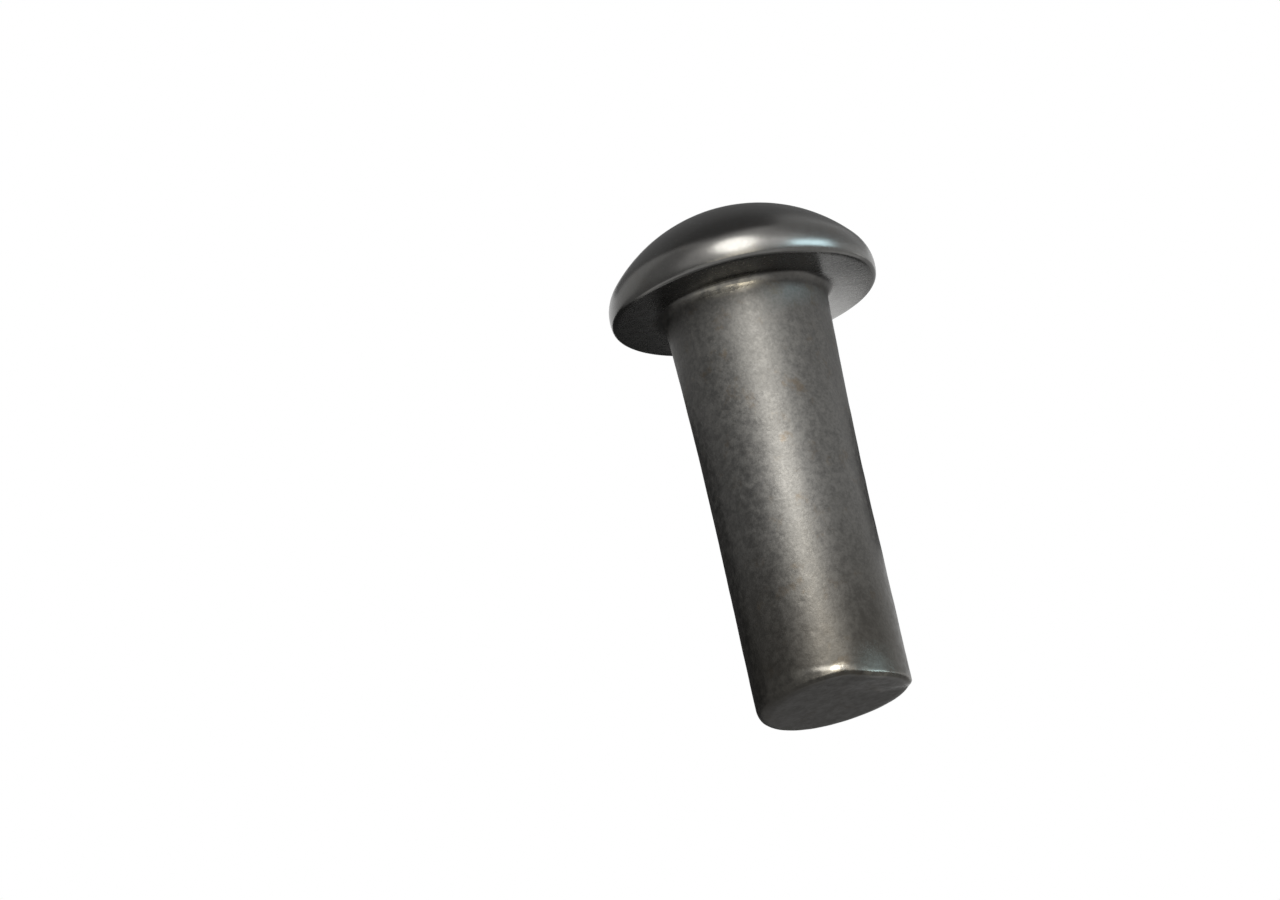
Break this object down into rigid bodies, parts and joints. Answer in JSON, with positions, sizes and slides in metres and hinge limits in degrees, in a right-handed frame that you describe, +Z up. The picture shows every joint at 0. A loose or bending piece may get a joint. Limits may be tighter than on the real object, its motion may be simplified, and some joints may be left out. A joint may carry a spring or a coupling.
{
  "type": "round head rivet",
  "caption": "Solid steel rivet with a round domed head, a flat bearing face under it and a plain shank with a square-cut, edge-broken tail.",
  "frame": {"origin": "centre of the flat tail face, on which the rivet stands", "axes": "+Z up the rivet's axis from the tail to the crown of the head; X and Y lie in the tail face"},
  "size_m": [0.014, 0.014, 0.027],
  "materials": {
    "dark_steel": "dark mill scale, satin, lightly oiled"
  },
  "bodies": {
    "root": {"rivet": "dark_steel"}
  },
  "joints": []
}
